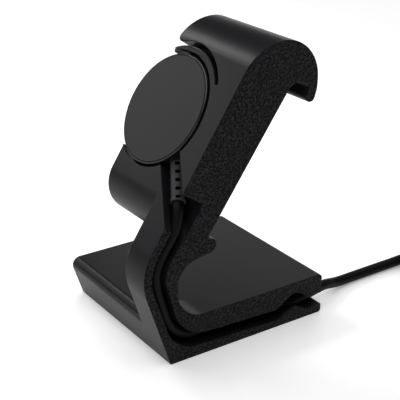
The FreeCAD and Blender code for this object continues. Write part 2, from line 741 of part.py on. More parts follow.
# Build, and move everything so that the origin is under the middle of the stand
stand = make_stand()
box = stand.BoundBox
SHIFT = Vector(-(box.XMin + box.XMax) / 2, -(box.YMin + box.YMax) / 2, 0)
print("moved by", SHIFT)


def save(name, shape):
    shape.translate(SHIFT)
    shape.exportStep("parts/" + name + ".step")
    print(name, "valid", shape.isValid(), "solids", len(shape.Solids), "volume", round(shape.Volume, 1))


wound_turns = make_cable_coil()

save("stand", stand)
save("puck_housing", make_puck_housing())
save("puck_face", make_puck_face())
save("charging_coil", make_charging_coil())
save("ferrite_shield", make_ferrite_shield())
save("alignment_magnet", make_alignment_magnet())
save("circuit_board", make_circuit_board())
save("puck_strain_relief", make_puck_strain_relief())
save("dock_cable", cable("dock_cable", DOCK_ROUTE))
save("free_cable", cable("free_cable", FREE_ROUTE).cut(wound_turns))
save("cable_tail", cable("cable_tail", TAIL_ROUTE).cut(wound_turns))
save("cable_coil", wound_turns)
save("cable_tie", make_cable_tie())
save("plug_strain_relief", make_plug_strain_relief())
save("plug_body", make_plug_body())
save("plug_shell", make_plug_shell())
save("plug_tongue", make_plug_tongue())
for number in range(CONTACT_COUNT):
    save("plug_contact_" + str(number + 1), make_plug_contact(number))
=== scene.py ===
# %% [markdown]
# A desk dock for a smartwatch. A black moulded stand carries a round charging puck in its leaning arm, and the puck's
# cable runs down a slot in the right-hand side, out at the rear and over the table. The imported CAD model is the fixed
# frame of this scene: every piece below is in metres in that frame, with the table at Z = 0 and the front towards -Y.

import math

import bmesh
import bpy
from mathutils import Matrix, Vector
from mathutils.geometry import intersect_point_line


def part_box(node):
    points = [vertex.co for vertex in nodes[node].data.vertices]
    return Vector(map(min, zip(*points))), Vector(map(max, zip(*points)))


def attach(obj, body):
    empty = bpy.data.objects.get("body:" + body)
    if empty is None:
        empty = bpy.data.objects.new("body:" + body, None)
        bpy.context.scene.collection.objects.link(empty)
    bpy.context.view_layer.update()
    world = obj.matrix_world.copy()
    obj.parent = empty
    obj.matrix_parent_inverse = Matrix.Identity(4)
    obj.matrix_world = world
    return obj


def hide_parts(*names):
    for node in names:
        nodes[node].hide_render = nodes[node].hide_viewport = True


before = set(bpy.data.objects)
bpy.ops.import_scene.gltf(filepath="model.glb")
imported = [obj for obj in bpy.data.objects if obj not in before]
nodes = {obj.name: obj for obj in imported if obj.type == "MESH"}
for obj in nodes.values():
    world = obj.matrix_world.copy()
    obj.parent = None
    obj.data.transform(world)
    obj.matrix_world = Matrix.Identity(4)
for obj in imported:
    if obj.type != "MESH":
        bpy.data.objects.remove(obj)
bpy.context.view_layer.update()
collection = bpy.context.scene.collection

# %% [markdown]
# Places on the dock are easiest to read in millimetres, counted as on a drawing: how far in from the stand's right-hand
# side, how far behind its front foot, how high above the table. One function turns such a place into the frame.

# %% Places on the stand
MM = 0.001
BASE_DEPTH = 63.0

stand_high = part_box("stand")[1]
foot_y = stand_high.y - BASE_DEPTH * MM


def from_side(inset, y, z):
    """Point that far in from the stand's right-hand side, behind its front foot and above the table, in mm."""
    return Vector((stand_high.x - inset * MM, foot_y + y * MM, z * MM))


def add_object(name, data):
    """New object in the scene."""
    item = bpy.data.objects.new(name, data)
    collection.objects.link(item)
    return item


print("right-hand side at X", round(stand_high.x, 4), "front foot at Y", round(foot_y, 4))

# %% [markdown]
# The camera stands in front, to the right and above, as the photograph's did: its direction, distance and focal length
# were worked out from the edges of the base and the arm, whose sizes are known. A camera looks along its own -Z, so its
# matrix has the right, up and backward directions as columns.

# %% Camera
IMAGE_WIDTH = 400
FOCAL_LENGTH = 1051.15      # in pixels of that image
SENSOR_WIDTH = 36.0         # mm
VIEW_AZIMUTH = 55.935       # degrees from the front to the right
VIEW_ELEVATION = 23.586
VIEW_DISTANCE = 380.53      # mm, from the target
VIEW_TARGET = Vector((-12.39, 13.19, 33.37))
NEAREST_SEEN = 0.01         # m

azimuth = math.radians(VIEW_AZIMUTH)
elevation = math.radians(VIEW_ELEVATION)
to_right = Vector((math.cos(azimuth), math.sin(azimuth), 0))
to_back = Vector((math.sin(azimuth), -math.cos(azimuth), 0)) * math.cos(elevation)
to_back.z = math.sin(elevation)
view = Matrix((to_right, to_back.cross(to_right), to_back)).transposed().to_4x4()
view.translation = (VIEW_TARGET + to_back * VIEW_DISTANCE) * MM

camera_data = bpy.data.cameras.new("camera")
camera_data.sensor_width = SENSOR_WIDTH
camera_data.lens = FOCAL_LENGTH / IMAGE_WIDTH * SENSOR_WIDTH
camera_data.clip_start = NEAREST_SEEN
camera = add_object("camera", camera_data)
camera.matrix_world = view
bpy.context.scene.camera = camera
print("camera at", [round(value, 4) for value in view.translation], "lens", round(camera_data.lens, 2), "mm")

# %% [markdown]
# Materials are small node trees. One helper turns a colour as it is seen on a screen into the linear values that a
# shader works with. One adds a node, and hands its sockets to another that sets or links them, which also serves the
# shader. A pattern is given by its real size, so a texture's scale is one divided by that size in metres. A pixel of
# the picture is about a third of a millimetre, and a finer grain wouldn't show: it is drawn coarser, and says so.

# %% Material helpers
def screen_colour(code):
    """Linear red, green, blue and alpha of a colour written as six hexadecimal digits."""
    channels = [int(code[start:start + 2], 16) / 255 for start in (0, 2, 4)]
    linear = [value / 12.92 if value <= 0.04045 else ((value + 0.055) / 1.055) ** 2.4 for value in channels]
    return (*linear, 1.0)


def feed(tree, node, numbered=None, **named):
    """Give sockets a value or another node's output; a name has _ for spaces, and a name used twice has a number."""
    for key, value in {**(numbered or {}), **named}.items():
        socket = node.inputs[key.replace("_", " ") if isinstance(key, str) else key]
        if isinstance(value, bpy.types.NodeSocket):
            tree.links.new(value, socket)
        else:
            socket.default_value = value
    return node


def add_node(tree, kind, settings=None, numbered=None, **named):
    """New node with its settings and with what its sockets get."""
    node = tree.nodes.new(kind)
    for name, value in (settings or {}).items():
        setattr(node, name, value)
    return feed(tree, node, numbered, **named)


def new_material(name, colour, metallic=0.0, specular=0.5, ior=1.5):
    """Material with one Principled shader, and the object's own coordinates for its patterns."""
    material = bpy.data.materials.new(name)
    material.use_nodes = True
    tree = material.node_tree
    shader = tree.nodes["Principled BSDF"]
    feed(tree, shader, Base_Color=screen_colour(colour), Metallic=metallic, Specular_IOR_Level=specular, IOR=ior)
    place = add_node(tree, "ShaderNodeTexCoord").outputs["Object"]
    return material, tree, shader, place


print("middle grey of a screen in linear light:", round(screen_colour("808080")[0], 3))

# %% [markdown]
# The stand is black plastic with two finishes. Its front, top and inner faces are satin: a very dark colour whose grey
# comes from soft reflections, with a trace of fine grain. A textured skin mirrors less at a low angle than polished
# plastic does, so its index of refraction is set lower than the usual 1.5.

# %% Satin plastic of the stand
STAND_COLOUR = "17171a"
TEXTURED_IOR = 1.18


def satin_black_plastic():
    """Fine grain breaks the gloss a little, so that edges shine and flat faces stay soft.

    The real grain is under a tenth of a millimetre and is drawn at half a millimetre, so that it shows.
    """
    material, tree, shader, place = new_material("satin_black_plastic", STAND_COLOUR, ior=TEXTURED_IOR)
    fine = add_node(tree, "ShaderNodeTexNoise", Vector=place, Scale=1 / (0.5 * MM)).outputs["Fac"]
    gloss = add_node(tree, "ShaderNodeMapRange", Value=fine, To_Min=0.32, To_Max=0.4)
    relief = add_node(tree, "ShaderNodeBump", Height=fine, Distance=0.01 * MM)
    feed(tree, shader, Roughness=gloss.outputs["Result"], Normal=relief.outputs["Normal"])
    return material


satin = satin_black_plastic()
print("front, top and inner faces:", satin.name)

# %% [markdown]
# The right-hand side of the stand is pebbled, like the sheet that it was formed on, so light catches many small spots
# there. Rounded cells from a smooth Voronoi texture are mixed with soft noise to one height. It raises the surface, and
# it also leads the colour from black in the hollows to dark grey on the tops: painted shade in the hollows of the
# grain.

# %% Pebbled plastic of the right-hand side
def pebbled_black_plastic():
    """Small rounded pebbles two thirds of a millimetre across, matt between and slightly shiny on top, with painted
    shade in the hollows.
    """
    material, tree, shader, place = new_material("pebbled_black_plastic", STAND_COLOUR, ior=TEXTURED_IOR)
    soft = add_node(tree, "ShaderNodeTexNoise", Vector=place, Scale=1 / (0.75 * MM)).outputs["Fac"]
    cells = add_node(tree, "ShaderNodeTexVoronoi", {"feature": "SMOOTH_F1"}, Vector=place,
                     Scale=1 / (0.62 * MM)).outputs["Distance"]
    pebbles = add_node(tree, "ShaderNodeMix", {"data_type": "FLOAT"}, {2: cells, 3: soft}, Factor=0.35).outputs[0]
    painted_shade_mask = add_node(tree, "ShaderNodeMapRange", Value=pebbles, From_Min=0.36, From_Max=0.6)
    # Painted shade: the colour goes to black in the hollows of the grain and to dark grey on its tops.
    painted_shade_tint = add_node(tree, "ShaderNodeMix", {"data_type": "RGBA"},
                    {6: screen_colour("010101"), 7: screen_colour("2c2c30")}, Factor=painted_shade_mask.outputs["Result"])
    gloss = add_node(tree, "ShaderNodeMapRange", Value=pebbles, To_Min=0.6, To_Max=0.4)
    relief = add_node(tree, "ShaderNodeBump", Height=pebbles, Distance=1.1 * MM)
    feed(tree, shader, Base_Color=painted_shade_tint.outputs[2], Roughness=gloss.outputs["Result"], Normal=relief.outputs["Normal"])
    return material


pebbled = pebbled_black_plastic()
print("right-hand side:", pebbled.name)

# %% [markdown]
# The CAD solid of the stand has the right form but edges as sharp as a knife. Moulded plastic never has those: a
# rounding of a few tenths of a millimetre catches the light as a thin bright line. The stand is therefore made again
# from a copy of the solid's mesh, whose points are merged and whose flat faces are joined, so that a Bevel modifier can
# run along the real edges.

# %% Copies of CAD solids
MERGED_WITHIN = 0.002       # mm
FLAT_WITHIN = 1.0           # degrees


def merged_copy(node, name):
    """Mesh of a CAD node with shared points and joined flat faces."""
    shape = bmesh.new()
    shape.from_mesh(nodes[node].data)
    bmesh.ops.remove_doubles(shape, verts=shape.verts, dist=MERGED_WITHIN * MM)
    bmesh.ops.dissolve_limit(shape, angle_limit=math.radians(FLAT_WITHIN), verts=shape.verts, edges=shape.edges)
    mesh = bpy.data.meshes.new(name)
    shape.to_mesh(mesh)
    shape.free()
    mesh.polygons.foreach_set("use_smooth", [True] * len(mesh.polygons))
    print(name, "faces:", len(nodes[node].data.polygons), "triangles joined to", len(mesh.polygons))
    return mesh


def plain_mesh(piece):
    """Mesh of a piece as its modifiers leave it."""
    return bpy.data.meshes.new_from_object(piece.evaluated_get(bpy.context.evaluated_depsgraph_get()))


def baked(piece):
    """The piece with its modifiers turned into a plain mesh."""
    mesh = plain_mesh(piece)
    piece.modifiers.clear()
    piece.data = mesh
    return piece


stand_mesh = merged_copy("stand", "stand_plastic")

# %% [markdown]
# A rounding needs room. Where two edges face each other across less than two roundings, as at the tip of a wedge, the
# Bevel modifier would fold the surface over. Long edges are therefore split into short parts, each part that has room
# gets a weight of 1, and the modifier follows that weight. The rest stays sharp.

# %% Edges with room for a rounding
EDGE_PART = 2.0             # mm, longest part of an edge that is rounded or left as a whole
EDGE_ROOM = 2.2             # roundings between two edges that face each other
OPPOSITE = -0.5             # cosine between the inward directions of two such edges


def gap(edge, other):
    """Distance from an edge's ends to another edge."""
    start, end = (corner.co for corner in other.verts)
    distances = []
    for corner in edge.verts:
        share = intersect_point_line(corner.co, start, end)[1]
        distances.append((corner.co - start.lerp(end, min(max(share, 0), 1))).length)
    return min(distances)


def mark_edges(mesh, radius, limit):
    """Weigh sharp edges with 1, but not those that face another one across too little room."""
    shape = bmesh.new()
    shape.from_mesh(mesh)
    weight = shape.edges.layers.float.new("bevel_weight_edge")
    whole = [edge for edge in shape.edges if edge.is_manifold and edge.calc_face_angle() > math.radians(limit)]
    sharp = set()
    while whole:
        edge = whole.pop()
        if edge.calc_length() > EDGE_PART * MM:
            whole += [edge, bmesh.utils.edge_split(edge, edge.verts[0], 0.5)[0]]
        else:
            sharp.add(edge)
    crowded = set()
    for face in shape.faces:
        sides = [(loop.edge, face.normal.cross(loop.link_loop_next.vert.co - loop.vert.co).normalized())
                 for loop in face.loops if loop.edge in sharp]
        for edge, inward in sides:
            for other, facing in sides:
                if inward.dot(facing) < OPPOSITE and gap(edge, other) < EDGE_ROOM * radius * MM:
                    crowded.update((edge, other))
    for edge in sharp - crowded:
        edge[weight] = 1.0
        edge.smooth = True
    print(mesh.name, "edges rounded:", len(sharp - crowded), "without room:", len(crowded))
    shape.to_mesh(mesh)
    shape.free()


# %% [markdown]
# After the Bevel modifier, a Weighted Normal modifier lets the large flat faces decide how their borders are shaded, so
# that they stay flat to the eye. The stand then gets its two finishes by the way that its faces look.

# %% Pieces with rounded edges
def rounded_piece(mesh, radius, limit=28):
    """Object of a mesh whose edges sharper than that many degrees are rounded by that radius in millimetres."""
    mesh.set_sharp_from_angle(angle=math.radians(limit))
    mark_edges(mesh, radius, limit)
    piece = add_object(mesh.name, mesh)
    rounding = piece.modifiers.new("edges", "BEVEL")
    rounding.width = radius * MM
    rounding.segments = 2
    rounding.limit_method = "WEIGHT"
    rounding.use_clamp_overlap = False
    shading = piece.modifiers.new("shading", "WEIGHTED_NORMAL")
    shading.weight = 100
    shading.keep_sharp = True
    return baked(piece)


def stands_for(piece, slot, *replaced):
    """Let a finished piece replace CAD nodes and move with the dock; the slot is not used."""
    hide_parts(*replaced)
    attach(piece, "root")


# %% Stand with rounded edges
EDGE_ROUND = 0.3            # mm
SIDE_FACING = 0.9           # a face turned this far to the right is part of the pebbled side

for finish in (satin, pebbled):
    stand_mesh.materials.append(finish)
for face in stand_mesh.polygons:
    on_side = face.normal.x > SIDE_FACING and face.center.x > stand_high.x - EDGE_ROUND * MM
    face.material_index = 1 if on_side else 0
stand_piece = rounded_piece(stand_mesh, EDGE_ROUND)
stands_for(stand_piece, "stand", "stand")
print("stand faces:", len(stand_piece.data.polygons))

# %% [markdown]
# The cable has a soft rubber-like jacket. The stretch held in the dock starts in the puck, leaves its strain relief and
# lies in the slot. It follows a path, so a Geometry Nodes tree sweeps a circle along a smooth curve: a NURBS spline
# whose control points are the places that the cable passes. A mesh modelled by hand would need every bend made twice.

# %% Rubber of the cable
def soft_black_rubber(name, colour, spots, specular=0.5):
    """Matt jacket with a faint uneven skin, whose real pores are too fine to show and are drawn at that many mm."""
    material, tree, shader, place = new_material(name, colour, specular=specular, ior=1.2)
    skin = add_node(tree, "ShaderNodeTexNoise", Vector=place, Scale=1 / (spots * MM), Detail=3.0).outputs["Fac"]
    gloss = add_node(tree, "ShaderNodeMapRange", Value=skin, To_Min=0.46, To_Max=0.58)
    relief = add_node(tree, "ShaderNodeBump", Height=skin, Distance=0.02 * MM)
    feed(tree, shader, Roughness=gloss.outputs["Result"], Normal=relief.outputs["Normal"])
    return material


cable_rubber = soft_black_rubber("soft_black_rubber", "0c0c0c", 0.7)
relief_rubber = soft_black_rubber("relief_black_rubber", "3e3e40", 0.4)
print("rubber of cable and sleeves:", cable_rubber.name, relief_rubber.name)

# %% Smooth route through control points
def smooth_route(name, points):
    """Curve of one NURBS spline that starts and ends at its end points."""
    curve = bpy.data.curves.new(name, "CURVE")
    curve.dimensions = "3D"
    spline = curve.splines.new("NURBS")
    spline.points.add(len(points) - 1)
    for target, point in zip(spline.points, points):
        target.co = (*point, 1.0)
    spline.order_u = 3
    spline.use_endpoint_u = True
    spline.resolution_u = 10
    return add_object(name, curve)


def route_length(piece):
    """Length of a bare curve, measured along the points that Blender draws it with."""
    mesh = plain_mesh(piece)
    length = sum((mesh.vertices[a].co - mesh.vertices[b].co).length for a, b in (edge.vertices for edge in mesh.edges))
    bpy.data.meshes.remove(mesh)
    return length


HELD_ROUTE = [
    (16.97, 13.93, 64.2),
    (4.97, 6.45, 52.89),
    (3.85, 5.75, 51.83),
    (2.4, 3.5, 46.3),
    (2.8, -1.9, 38.8),
    (3.1, -4.25, 31.4),
    (3.2, -1.6, 21.1),
    (3.6, 1.45, 11.9),
    (4.8, 8.3, 6.2),
    (5.9, 17.5, 5.74),
    (6.6, 31.0, 5.16),
    (5.8, 44.0, 4.6),
    (3.9, 54.0, 5.14),
    (6.0, 63.0, 5.2),
]

held_route = smooth_route("held_route", [from_side(*place) for place in HELD_ROUTE])
held_length = route_length(held_route)
print("held route:", round(held_length / MM, 1), "mm")

# %% Tree that sweeps a round cable
def new_tree(name, **inputs):
    """Geometry Nodes tree with an input of each given kind, and what its Group Input hands out."""
    tree = bpy.data.node_groups.new(name, "GeometryNodeTree")
    for label, kind in {"Geometry": "Geometry", **inputs}.items():
        tree.interface.new_socket(label.replace("_", " "), in_out="INPUT", socket_type="NodeSocket" + kind)
    tree.interface.new_socket("Geometry", in_out="OUTPUT", socket_type="NodeSocketGeometry")
    return tree, tree.nodes.new("NodeGroupInput").outputs


def cable_tree():
    """Sweep a circle along the curve that the modifier is on."""
    tree, given = new_tree("cable_along_route", Diameter="Float", Sides="Int", Jacket="Material")
    half = add_node(tree, "ShaderNodeMath", {"operation": "MULTIPLY"}, {0: given["Diameter"], 1: 0.5})
    ring = add_node(tree, "GeometryNodeCurvePrimitiveCircle", Resolution=given["Sides"], Radius=half.outputs[0])
    tube = add_node(tree, "GeometryNodeCurveToMesh", Curve=given["Geometry"], Profile_Curve=ring.outputs["Curve"],
                    Fill_Caps=True)
    smooth = add_node(tree, "GeometryNodeSetShadeSmooth", Geometry=tube.outputs["Mesh"])
    whole = add_node(tree, "GeometryNodeRealizeInstances", Geometry=smooth.outputs[0])
    dressed = add_node(tree, "GeometryNodeSetMaterial", Geometry=whole.outputs[0], Material=given["Jacket"])
    add_node(tree, "NodeGroupOutput", Geometry=dressed.outputs[0])
    return tree


cable_sweep = cable_tree()
print("cable tree nodes:", len(cable_sweep.nodes))

# %% Cable held in the dock
CABLE_D = 3.8
CABLE_SIDES = 24


def run_tree(piece, tree, **values):
    """Put a tree on a piece as a modifier, with its named inputs set by their sockets' identifiers."""
    modifier = piece.modifiers.new(tree.name, "NODES")
    modifier.node_group = tree
    for item in tree.interface.items_tree:
        key = item.name.replace(" ", "_")
        if item.in_out == "INPUT" and key in values:
            modifier[item.identifier] = values[key]


run_tree(held_route, cable_sweep, Diameter=CABLE_D * MM, Sides=CABLE_SIDES, Jacket=cable_rubber)
held_cable = add_object("held_cable", plain_mesh(held_route))
bpy.data.objects.remove(held_route)
stands_for(held_cable, "cable", "dock_cable")
print("held cable faces:", len(held_cable.data.polygons))

# %% [markdown]
# Behind the dock the cable is free. It lies on the table, leaves the picture to the right, and the length that isn't
# seen is wound up and tied. One NURBS spline carries all of it: control points listed up to the coil, a loop for
# the turns, and a few points to the plug. A spline of this order runs inside its control points, so the loop sets them
# a little outside the turn that it wants.

# %% Route of the free cable
FREE_ROUTE = [
    (6.0, 63.0, 5.2),
    (7.68, 70.2, 5.25),
    (10.0, 78.0, 2.5),
    (10.9, 87.5, 1.95),
    (11.0, 99.5, 1.9),
    (10.9, 113.5, 2.0),
]
COIL_START = (10.6, 127.0, 2.9)
COIL_TURNS = 5.25
COIL_RADIUS = 20.0          # middle of the turns
COIL_LAYERS = 3
POINTS_PER_TURN = 24
SLOT_CHANGE = 45.0          # degrees that the cable takes to move to its next place in the coil
TAIL_ROUTE = [(13.5, 21.9, 10.2), (24.5, 14.8, 7.2), (28.0, 4.0, 4.0), (28.0, -7.0, 4.0)]   # from the coil's middle

outer_turn = COIL_RADIUS + CABLE_D / 2
inner_turn = COIL_RADIUS - CABLE_D / 2
coil_middle = from_side(*COIL_START) + Vector((outer_turn * MM, 0, 0))
levels = [COIL_START[2] + CABLE_D * level for level in range(COIL_LAYERS)]
COIL_PLACES = [
    (outer_turn, levels[0]),
    (inner_turn, levels[0]),
    (inner_turn, levels[1]),
    (outer_turn, levels[1]),
    (inner_turn, levels[2]),
    (outer_turn, levels[2]),
]
print("coil about", [round(value, 4) for value in coil_middle], "layers:", [round(level, 1) for level in levels], "mm")

# %% Turns of the coil
def coil_place(angle):
    """Radius and height of the cable after that many degrees of winding."""
    span = 360 * COIL_TURNS / len(COIL_PLACES)
    index = min(int(angle / span), len(COIL_PLACES) - 1)
    here = COIL_PLACES[index]
    after = COIL_PLACES[min(index + 1, len(COIL_PLACES) - 1)]
    share = max(0.0, (angle - index * span - (span - SLOT_CHANGE)) / SLOT_CHANGE)
    share = share * share * (3 - 2 * share)     # starts and ends gently
    return [a + (b - a) * share for a, b in zip(here, after)]


def coil_points():
    """Control points of the turns, clockwise from the coil's left-hand side."""
    points = []
    step = 360 / POINTS_PER_TURN
    for number in range(int(COIL_TURNS * POINTS_PER_TURN) + 1):
        radius, height = coil_place(number * step)
        radius /= math.cos(math.radians(step) / 2)
        turn = math.radians(180 - number * step)
        points.append(coil_middle + Vector((radius * math.cos(turn), radius * math.sin(turn), 0)) * MM)
        points[-1].z = height * MM
    return points


free_points = [from_side(*place) for place in FREE_ROUTE] + coil_points()
print("control points up to the end of the coil:", len(free_points))

# %% Free cable
free_points += [Vector((coil_middle.x + x * MM, coil_middle.y + y * MM, z * MM)) for x, y, z in TAIL_ROUTE]
free_cable = smooth_route("free_cable_run", free_points)
free_length = route_length(free_cable)
free_cable.data.bevel_depth = CABLE_D / 2 * MM
free_cable.data.bevel_resolution = 6
free_cable.data.use_fill_caps = True
free_cable.data.materials.append(cable_rubber)
stands_for(free_cable, "cable", "free_cable", "cable_coil", "cable_tail")
print("free cable:", round(free_length / MM, 1), "mm, whole cable:", round((free_length + held_length) / MM, 1), "mm")

# %% [markdown]
# Where the cable leaves the puck, a soft sleeve keeps it from kinking. Rows of small windows let it bend, and a collar
# ends it. The CAD solid already has that form, so a copy of it gets softer edges. It is turned a little about its own
# axis, to show one row of windows to the front as the real one does. The floors of the windows are the inside of the
# sleeve, which no light reaches, so painted shade stands there: a pure black rubber without any shine.

# %% Strain relief on the puck
RELIEF_D = 4.5
RELIEF_ROUND = 0.06         # mm
RELIEF_CREASE = 40          # degrees
WINDOW_FLOOR = 1.92         # just under a window's floor, from the sleeve's axis
WINDOW_MARGIN = 0.1         # from a window's rim to the first face that counts as inside
WINDOWS_END = 16.4          # from where the cable starts
WINDOW_TURN = 18.0          # degrees that the sleeve is turned about its axis

relief_foot = from_side(*HELD_ROUTE[0])
relief_way = (from_side(*HELD_ROUTE[1]) - relief_foot).normalized()
# Painted shade: pure black rubber without shine for the window floors, where shade falls.
painted_shade_rubber = soft_black_rubber("dull_black_rubber", "000000", 0.4, specular=0.0)


def in_window(place):
    """Whether a place on the sleeve lies inside one of its windows."""
    way = place - relief_foot
    along = way.dot(relief_way)
    distance = (way - relief_way * along).length / MM
    return WINDOW_FLOOR < distance < RELIEF_D / 2 - WINDOW_MARGIN and along < WINDOWS_END * MM


relief_mesh = merged_copy("puck_strain_relief", "puck_sleeve")
for finish in (relief_rubber, painted_shade_rubber):
    relief_mesh.materials.append(finish)
# Faces inside the windows get the painted shade rubber.
for face in relief_mesh.polygons:
    face.material_index = 1 if in_window(face.center) else 0
painted_shade_faces = sum(face.material_index for face in relief_mesh.polygons)
about_axis = Matrix.Rotation(math.radians(WINDOW_TURN), 4, relief_way)
relief_mesh.transform(Matrix.Translation(relief_foot) @ about_axis @ Matrix.Translation(-relief_foot))
relief_piece = rounded_piece(relief_mesh, RELIEF_ROUND, RELIEF_CREASE)
stands_for(relief_piece, "relief", "puck_strain_relief")
print("sleeve faces:", len(relief_piece.data.polygons), "in windows:", painted_shade_faces)

# %% [markdown]
# The puck itself keeps its CAD solids, whose form is right: a moulded cup with a rounded rim, and the flat face that
# the watch lies on. Only their finishes are made here. The cup is smooth and shines at its rim. Round the face runs a
# narrow seam that stays dark, so the shine starts only outside it: a Mapping node turns the place upright about the
# puck's middle, and the distance from its axis sets the gloss. The face is a fine matt coat, a little greyer.

# %% Cup of the puck
PUCK_LEAN = math.radians(56.5)
SEAM_WIDTH = 0.3            # mm
SEAM_BLEND = 0.1            # mm over which the shine sets in
SHINE = 0.5

face_low, face_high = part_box("puck_face")
face_middle = (face_low + face_high) / 2
seam_end = (face_high.x - face_low.x) / 2 + SEAM_WIDTH * MM


def give_finish(material, *names):
    """Put a material on CAD nodes."""
    for name in names:
        for place in nodes[name].material_slots:
            place.material = material
    print(material.name, "on", *names)


def smooth_black_polycarbonate():
    """Moulded shell: dark, with a narrow clear shine and hardly any grain; the seam round the face stays dull."""
    material, tree, shader, place = new_material("smooth_black_polycarbonate", "161617")
    flow = add_node(tree, "ShaderNodeTexNoise", Vector=place, Scale=1 / (3.0 * MM)).outputs["Fac"]
    gloss = add_node(tree, "ShaderNodeMapRange", Value=flow, To_Min=0.24, To_Max=0.3)
    upright = Matrix.Rotation(-PUCK_LEAN, 3, "X")
    centred = add_node(tree, "ShaderNodeMapping", Vector=place, Location=-(upright @ face_middle),
                       Rotation=(-PUCK_LEAN, 0, 0)).outputs["Vector"]
    flat = add_node(tree, "ShaderNodeVectorMath", {"operation": "MULTIPLY"}, {0: centred, 1: (1, 1, 0)})
    out = add_node(tree, "ShaderNodeVectorMath", {"operation": "LENGTH"}, {0: flat.outputs[0]})
    shine = add_node(tree, "ShaderNodeMapRange", {"interpolation_type": "SMOOTHSTEP"}, Value=out.outputs["Value"],
                     From_Min=seam_end, From_Max=seam_end + SEAM_BLEND * MM, To_Max=SHINE)
    feed(tree, shader, Roughness=gloss.outputs["Result"], Specular_IOR_Level=shine.outputs["Result"])
    return material


give_finish(smooth_black_polycarbonate(), "puck_housing")

# %% Face of the puck
def matt_grey_silicone():
    """Soft coat of the face: even grey with a tooth that spreads every reflection, drawn coarser than it really is."""
    material, tree, shader, place = new_material("matt_grey_silicone", "2a2a2c", ior=1.25)
    tooth = add_node(tree, "ShaderNodeTexNoise", Vector=place, Scale=1 / (0.3 * MM)).outputs["Fac"]
    gloss = add_node(tree, "ShaderNodeMapRange", Value=tooth, To_Min=0.5, To_Max=0.58)
    relief = add_node(tree, "ShaderNodeBump", Height=tooth, Distance=0.006 * MM)
    feed(tree, shader, Roughness=gloss.outputs["Result"], Normal=relief.outputs["Normal"])
    return material


give_finish(matt_grey_silicone(), "puck_face")

# %% [markdown]
# Inside the puck are the parts that do the charging: a flat winding of copper wire, a ferrite sheet behind it, a magnet
# in the middle and a small board. Nothing of them shows, but they are real parts of the model, so each gets its own
# finish. The winding's wires are rings about the puck's middle, drawn by a Wave texture moved there by a Mapping node.

# %% Winding and ferrite
coil_low, coil_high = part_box("charging_coil")
puck_middle = (coil_low + coil_high) / 2
WAVE_SPACING = math.tau / 20    # m between a Wave texture's rings at a scale of 1


def enamelled_copper():
    """Copper wire under clear enamel: rings of wire half a millimetre wide, bright on top and dark between."""
    material, tree, shader, place = new_material("enamelled_copper", "b8703f", metallic=1.0)
    centred = add_node(tree, "ShaderNodeMapping", Vector=place, Location=-puck_middle).outputs["Vector"]
    wires = add_node(tree, "ShaderNodeTexWave", {"wave_type": "RINGS", "rings_direction": "SPHERICAL"}, Vector=centred,
                     Scale=WAVE_SPACING / (0.5 * MM)).outputs["Fac"]
    gloss = add_node(tree, "ShaderNodeMapRange", Value=wires, To_Min=0.45, To_Max=0.25)
    relief = add_node(tree, "ShaderNodeBump", Height=wires, Distance=0.1 * MM)
    feed(tree, shader, Roughness=gloss.outputs["Result"], Normal=relief.outputs["Normal"])
    return material


def sintered_ferrite():
    """Pressed and fired iron oxide: dull brownish black with a mineral speckle."""
    material, tree, shader, place = new_material("sintered_ferrite", "2a2624", specular=0.4)
    speckle = add_node(tree, "ShaderNodeTexNoise", Vector=place, Scale=1 / (0.2 * MM), Detail=4.0).outputs["Fac"]
    gloss = add_node(tree, "ShaderNodeMapRange", Value=speckle, To_Min=0.6, To_Max=0.8)
    relief = add_node(tree, "ShaderNodeBump", Height=speckle, Distance=0.01 * MM)
    feed(tree, shader, Roughness=gloss.outputs["Result"], Normal=relief.outputs["Normal"])
    return material


give_finish(enamelled_copper(), "charging_coil")
give_finish(sintered_ferrite(), "ferrite_shield")

# %% Magnet and board
def nickel_plate():
    """Plated magnet: a warm grey metal with soft unevenness from the bath."""
    material, tree, shader, place = new_material("nickel_plate", "bdb9ae", metallic=1.0)
    cloud = add_node(tree, "ShaderNodeTexNoise", Vector=place, Scale=1 / (1.2 * MM)).outputs["Fac"]
    gloss = add_node(tree, "ShaderNodeMapRange", Value=cloud, To_Min=0.22, To_Max=0.34)
    feed(tree, shader, Roughness=gloss.outputs["Result"])
    return material


def glass_epoxy_board():
    """Circuit board: green lacquer over woven glass, whose threads half a millimetre wide show faintly."""
    material, tree, shader, place = new_material("glass_epoxy_board", "1d4a2c")
    weave = add_node(tree, "ShaderNodeTexChecker", Vector=place, Scale=1 / (0.5 * MM)).outputs["Fac"]
    gloss = add_node(tree, "ShaderNodeMapRange", Value=weave, To_Min=0.3, To_Max=0.42)
    relief = add_node(tree, "ShaderNodeBump", Height=weave, Distance=0.01 * MM)
    feed(tree, shader, Roughness=gloss.outputs["Result"], Normal=relief.outputs["Normal"])
    return material


give_finish(nickel_plate(), "alignment_magnet")
give_finish(glass_epoxy_board(), "circuit_board")

# %% [markdown]
# A strip of woven tape holds the wound turns together. It follows a path, a rounded rectangle round the turns, so a
# Geometry Nodes tree sweeps a flat rounded section along that path. Modelled as a box it would have to be bent by hand
# at four corners.

